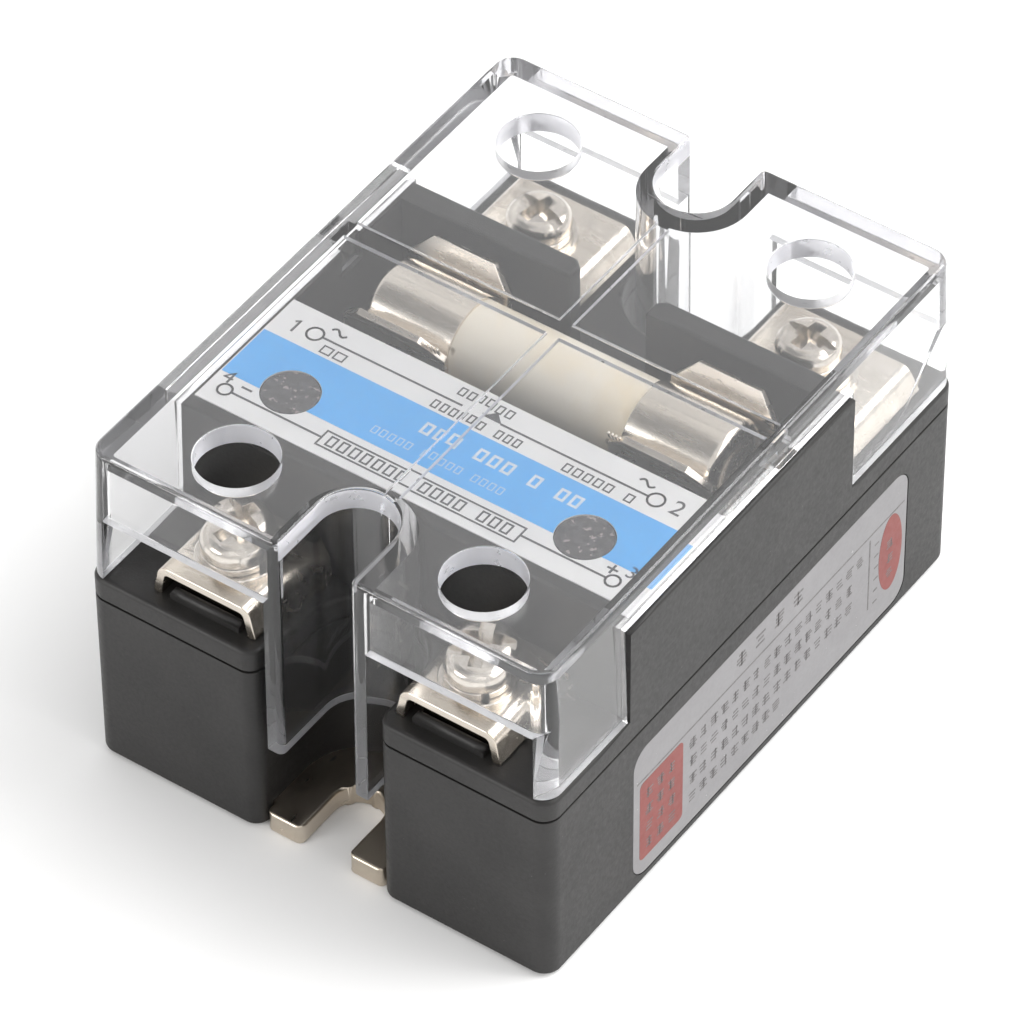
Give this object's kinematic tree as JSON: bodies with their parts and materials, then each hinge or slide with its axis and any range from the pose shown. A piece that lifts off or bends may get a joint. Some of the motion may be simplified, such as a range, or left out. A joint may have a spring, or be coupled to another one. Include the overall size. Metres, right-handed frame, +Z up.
{
  "type": "solid state relay",
  "caption": "Panel-mount solid state relay with a metal base plate, black two-part case, cartridge fuse in spring clips, screw terminals and a clear lift-off cover",
  "frame": {"origin": "centre of the base plate's underside, on the mounting face", "axes": "+Z up out of the panel, -Y towards the control end, +X towards the side label"},
  "size_m": [0.045, 0.0584, 0.0341],
  "materials": {
    "base_nickel": "fine-brushed, dull",
    "case_black": "fine spark texture, moulded",
    "clear": "clear moulded polycarbonate, polished",
    "label_top": "satin printed film",
    "label_side": "silver-grey printed film",
    "lens_dark": "smoked, speckled",
    "led_red": "clear red epoxy",
    "fuse_ceramic": "matt cream ceramic",
    "fuse_nickel": "plain nickel plate, lightly worn",
    "silver": "silver strip",
    "sand": "packed quartz sand",
    "clip_nickel": "nickel-plated spring bronze",
    "rivet": "tinned",
    "terminal_nickel": "nickel-plated brass",
    "clamp_nickel": "nickel-plated steel",
    "screw_nickel": "nickel-plated steel",
    "nut_steel": "plain",
    "alumina": "sintered white alumina",
    "copper": "bare copper",
    "silicon": "passivated silicon",
    "board_green": "solder resist on glass epoxy",
    "package_white": "moulded package",
    "package_black": "moulded package",
    "resistor_tan": "dipped resistor",
    "capacitor_brown": "dipped film capacitor",
    "solder": "tinned wire and solder",
    "gel": "soft translucent silicone gel"
  },
  "bodies": {
    "relay": {"base_plate": "base_nickel", "lower_case": "case_black", "upper_case": "case_black", "top_label": "label_top", "side_label": "label_side", "indicator_lens": "lens_dark", "blank_lens": "lens_dark", "indicator_led": "led_red", "fuse_clip_left": "clip_nickel", "fuse_clip_right": "clip_nickel", "clip_rivets": "rivet", "output_terminal_1": "terminal_nickel", "output_terminal_2": "terminal_nickel", "control_terminal_3": "terminal_nickel", "control_terminal_4": "terminal_nickel", "terminal_nuts": "nut_steel", "ceramic_substrate": "alumina", "copper_pads": "copper", "thyristor_chip_a": "silicon", "thyristor_chip_b": "silicon", "chip_bridge": "copper", "power_lead_1": "copper", "power_lead_2": "copper", "fuse_lead": "copper", "gate_leads": "solder", "control_board": "board_green", "opto_driver": "package_white", "board_resistors": "resistor_tan", "snubber_capacitor": "capacitor_brown", "drive_transistor": "package_black", "control_leads": "solder", "potting_gel": "gel"},
    "cover": {"clear_cover": "clear"},
    "fuse": {"fuse_tube": "fuse_ceramic", "fuse_cap_left": "fuse_nickel", "fuse_cap_right": "fuse_nickel", "fuse_element": "silver", "fuse_filler": "sand"},
    "clamp_1": {"clamp_plate_1": "clamp_nickel", "clamp_washers_1": "clamp_nickel"},
    "screw_1": {"terminal_screw_1": "screw_nickel"},
    "clamp_2": {"clamp_plate_2": "clamp_nickel", "clamp_washers_2": "clamp_nickel"},
    "screw_2": {"terminal_screw_2": "screw_nickel"},
    "clamp_3": {"clamp_plate_3": "clamp_nickel", "clamp_washers_3": "clamp_nickel"},
    "screw_3": {"terminal_screw_3": "screw_nickel"},
    "clamp_4": {"clamp_plate_4": "clamp_nickel", "clamp_washers_4": "clamp_nickel"},
    "screw_4": {"terminal_screw_4": "screw_nickel"}
  },
  "joints": [
    {"name": "cover_lift", "type": "slide", "parent": "relay", "child": "cover", "axis": [0, 0, 1], "range_m": [0, 0.04]},
    {"name": "fuse_lift", "type": "slide", "parent": "relay", "child": "fuse", "axis": [0, 0, 1], "range_m": [0, 0.018]},
    {"name": "clamp_lift_1", "type": "slide", "parent": "relay", "child": "clamp_1", "axis": [0, 0, 1], "range_m": [0, 0.0025]},
    {"name": "screw_turn_1", "type": "hinge", "parent": "clamp_1", "child": "screw_1", "pos_m": [-0.01335, 0.02085, 0.02392], "axis": [0, 0, 1], "range_deg": [0, 1800]},
    {"name": "clamp_lift_2", "type": "slide", "parent": "relay", "child": "clamp_2", "axis": [0, 0, 1], "range_m": [0, 0.0025]},
    {"name": "screw_turn_2", "type": "hinge", "parent": "clamp_2", "child": "screw_2", "pos_m": [0.01335, 0.02085, 0.02392], "axis": [0, 0, 1], "range_deg": [0, 1800]},
    {"name": "clamp_lift_3", "type": "slide", "parent": "relay", "child": "clamp_3", "axis": [0, 0, 1], "range_m": [0, 0.0025]},
    {"name": "screw_turn_3", "type": "hinge", "parent": "clamp_3", "child": "screw_3", "pos_m": [0.01185, -0.02265, 0.02477], "axis": [0, 0, 1], "range_deg": [0, 1800]},
    {"name": "clamp_lift_4", "type": "slide", "parent": "relay", "child": "clamp_4", "axis": [0, 0, 1], "range_m": [0, 0.0025]},
    {"name": "screw_turn_4", "type": "hinge", "parent": "clamp_4", "child": "screw_4", "pos_m": [-0.01185, -0.02265, 0.02477], "axis": [0, 0, 1], "range_deg": [0, 1800]}
  ],
  "couplings": [
    {"joint": "fuse_lift", "follows": "cover_lift", "ratio": 0.45},
    {"joint": "screw_turn_1", "follows": "clamp_lift_1", "rad_per_m": 12566},
    {"joint": "screw_turn_2", "follows": "clamp_lift_2", "rad_per_m": 12566},
    {"joint": "screw_turn_3", "follows": "clamp_lift_3", "rad_per_m": 12566},
    {"joint": "screw_turn_4", "follows": "clamp_lift_4", "rad_per_m": 12566}
  ]
}
